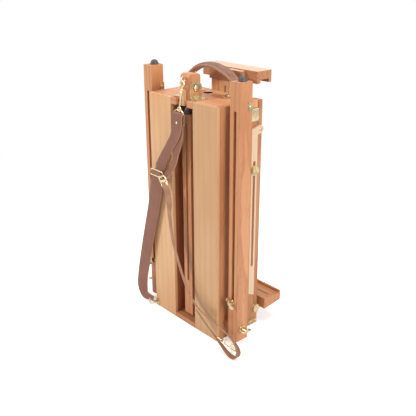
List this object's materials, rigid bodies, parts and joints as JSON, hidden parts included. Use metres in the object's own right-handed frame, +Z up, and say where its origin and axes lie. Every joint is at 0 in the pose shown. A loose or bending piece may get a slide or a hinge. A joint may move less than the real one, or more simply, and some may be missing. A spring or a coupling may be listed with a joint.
{
  "type": "sketch box easel",
  "caption": "Folded wooden sketch box with telescoping side legs, centre leg, sliding drawer, hinged lid with canvas mast, brass fittings and leather harness.",
  "frame": {"origin": "middle of the front edge of the case's lower end, in the plane of the front panels", "axes": "+X across the case towards the right leg, +Y from the front panels towards the lid, +Z up the case towards the handle"},
  "size_m": [0.3883, 0.2243, 0.62],
  "materials": {
    "birch": "satin",
    "beech": "satin",
    "brass": "polished",
    "leather": "satin",
    "rubber": "matte"
  },
  "bodies": {
    "case": {"front_panel_left": "birch", "front_panel_right": "birch", "case_side_left": "beech", "case_side_right": "beech", "channel_walls": "beech", "base_board": "beech", "top_end_board": "beech", "bottom_end_board": "beech", "head_brackets": "brass", "head_pivot_bolt": "brass", "case_screws": "brass", "side_plates": "brass", "hinge_plates": "brass", "hinge_bolts": "brass", "catch_leaves": "brass", "leg_spacers": "beech", "pivot_wing_bolts": "brass", "harness_tabs": "brass", "harness_rings": "brass", "strap_long": "leather", "strap_short": "leather", "strap_buckles": "brass"},
    "drawer": {"drawer_front": "beech", "drawer_walls": "birch", "drawer_bottom": "birch", "handle_plates": "brass"},
    "handle": {"handle_strap": "leather", "handle_links": "brass"},
    "centre_leg": {"centre_leg_upper": "beech", "centre_hinge": "brass", "screw_eye": "brass", "snap_hook": "brass", "strap_ring": "brass"},
    "centre_lower": {"centre_leg_lower": "beech", "centre_hinge_leaf": "brass", "centre_foot": "rubber"},
    "keeper": {"keeper": "birch"},
    "lid": {"lid_stile_left": "beech", "lid_stile_right": "beech", "lid_panel": "birch", "mast_guides": "beech", "canvas_ledge": "beech", "stay_pivots": "brass"},
    "mast": {"mast_board": "beech", "mast_head_block": "beech", "canvas_clamp": "beech"},
    "side_leg_left": {"leg_left": "beech", "leg_band_left": "brass"},
    "inner_leg_left": {"leg_slider_left": "beech", "leg_foot_left": "rubber"},
    "clamp_left": {"clamp_screw_left": "brass"},
    "lid_stay_left": {"stay_left": "birch"},
    "knob_left": {"stay_knob_left": "brass"},
    "side_leg_right": {"leg_right": "beech", "leg_band_right": "brass"},
    "inner_leg_right": {"leg_slider_right": "beech", "leg_foot_right": "rubber"},
    "clamp_right": {"clamp_screw_right": "brass"},
    "lid_stay_right": {"stay_right": "birch"},
    "knob_right": {"stay_knob_right": "brass"}
  },
  "joints": [
    {"name": "leg_fold_left", "type": "hinge", "parent": "case", "child": "side_leg_left", "pos_m": [-0.1455, 0.0355, 0.042], "axis": [1, 0, 0], "range_deg": [0, 90]},
    {"name": "leg_extend_left", "type": "slide", "parent": "side_leg_left", "child": "inner_leg_left", "axis": [0, 0, 1], "range_m": [0, 0.43]},
    {"name": "clamp_turn_left", "type": "hinge", "parent": "inner_leg_left", "child": "clamp_left", "pos_m": [-0.1455, 0.02, 0.1095], "axis": [0, 1, 0], "continuous": true},
    {"name": "leg_fold_right", "type": "hinge", "parent": "case", "child": "side_leg_right", "pos_m": [0.1455, 0.0355, 0.042], "axis": [1, 0, 0], "range_deg": [0, 90]},
    {"name": "leg_extend_right", "type": "slide", "parent": "side_leg_right", "child": "inner_leg_right", "axis": [0, 0, 1], "range_m": [0, 0.43]},
    {"name": "clamp_turn_right", "type": "hinge", "parent": "inner_leg_right", "child": "clamp_right", "pos_m": [0.1455, 0.02, 0.1095], "axis": [0, 1, 0], "continuous": true},
    {"name": "centre_fold", "type": "hinge", "parent": "case", "child": "centre_leg", "pos_m": [0, 0.0285, 0.5726], "axis": [-1, 0, 0], "range_deg": [0, 95], "deforming": ["strap_long", "strap_short", "strap_buckles"]},
    {"name": "centre_unfold", "type": "hinge", "parent": "centre_leg", "child": "centre_lower", "pos_m": [0, 0.02675, 0.017], "axis": [1, 0, 0], "range_deg": [0, 180]},
    {"name": "keeper_turn", "type": "hinge", "parent": "centre_leg", "child": "keeper", "pos_m": [-0.0015, 0.008, 0.565], "axis": [0, 1, 0], "range_deg": [-90, 90]},
    {"name": "drawer_slide", "type": "slide", "parent": "case", "child": "drawer", "axis": [0, 0, 1], "range_m": [0, 0.3]},
    {"name": "handle_swing", "type": "hinge", "parent": "drawer", "child": "handle", "pos_m": [0, 0.09, 0.5536], "axis": [1, 0, 0], "range_deg": [-20, 25]},
    {"name": "lid_open", "type": "hinge", "parent": "case", "child": "lid", "pos_m": [0, 0.125, 0.043], "axis": [-1, 0, 0], "range_deg": [0, 42]},
    {"name": "mast_raise", "type": "slide", "parent": "lid", "child": "mast", "axis": [0, 0, 1], "range_m": [0, 0.37]},
    {"name": "stay_turn_left", "type": "hinge", "parent": "lid", "child": "lid_stay_left", "pos_m": [-0.1175, 0.122, 0.487], "axis": [-1, 0, 0], "range_deg": [0, 48.97]},
    {"name": "knob_slide_left", "type": "slide", "parent": "lid_stay_left", "child": "knob_left", "axis": [0, 0, -1], "range_m": [0, 0.22568]},
    {"name": "stay_turn_right", "type": "hinge", "parent": "lid", "child": "lid_stay_right", "pos_m": [0.1175, 0.122, 0.487], "axis": [-1, 0, 0], "range_deg": [0, 48.97]},
    {"name": "knob_slide_right", "type": "slide", "parent": "lid_stay_right", "child": "knob_right", "axis": [0, 0, -1], "range_m": [0, 0.22568]}
  ],
  "couplings": [
    {"joint": "stay_turn_left", "follows": "lid_open", "ratio": 1.1647},
    {"joint": "knob_slide_left", "follows": "lid_open", "m_per_rad": 0.30718},
    {"joint": "stay_turn_right", "follows": "lid_open", "ratio": 1.1647},
    {"joint": "knob_slide_right", "follows": "lid_open", "m_per_rad": 0.30718},
    {"joint": "centre_unfold", "follows": "centre_fold", "ratio": 1.8947}
  ]
}
